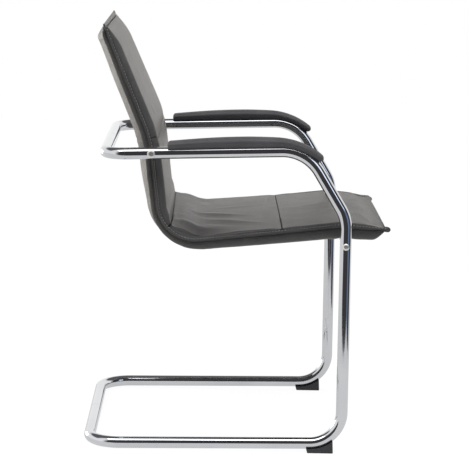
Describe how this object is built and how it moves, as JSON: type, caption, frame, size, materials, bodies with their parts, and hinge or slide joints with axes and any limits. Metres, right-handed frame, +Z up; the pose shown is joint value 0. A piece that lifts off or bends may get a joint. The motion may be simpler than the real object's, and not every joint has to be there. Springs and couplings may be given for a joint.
{
  "type": "conference chair",
  "caption": "Cantilever conference chair: bent chrome tube frame, padded leather seat and back in one curve, soft arm pads and wedge glides.",
  "frame": {"origin": "on the floor, below the middle of the chair's box", "axes": "+Z up, -Y to the front where the sitter faces, +X to the sitter's left"},
  "size_m": [0.578, 0.649, 0.902],
  "materials": {
    "chrome": "polished",
    "steel": "plain steel",
    "nickel": "nickel plated",
    "plate": "satin black",
    "glide": "fine matt",
    "arm_pad": "satin moulded foam skin",
    "shell": "raw plywood",
    "leather": "fine grain, semi matt"
  },
  "bodies": {
    "root": {"right_side_tube": "chrome", "left_side_tube": "chrome", "seat_crossbar": "chrome", "base_joint_spigot": "steel", "top_joint_spigot": "steel", "crossbar_plugs": "steel", "seat_inserts": "steel", "back_inserts": "steel", "back_spacers": "steel", "glide_screws": "nickel", "leg_screws": "nickel", "seat_screws": "nickel", "back_screws": "nickel", "arm_pad_screws": "nickel", "right_seat_plate": "plate", "left_seat_plate": "plate", "right_pad_insert": "plate", "left_pad_insert": "plate", "right_front_glide": "glide", "left_front_glide": "glide", "right_arm_pad": "arm_pad", "left_arm_pad": "arm_pad", "seat_shell": "shell", "upper_back_pad": "leather", "lower_back_pad": "leather", "rear_seat_pad": "leather", "front_seat_pad": "leather", "upper_back_cover": "leather", "lower_back_cover": "leather", "seat_base_cover": "leather", "right_side_welt": "leather", "left_side_welt": "leather", "top_flange": "leather", "front_flange": "leather"}
  },
  "joints": []
}
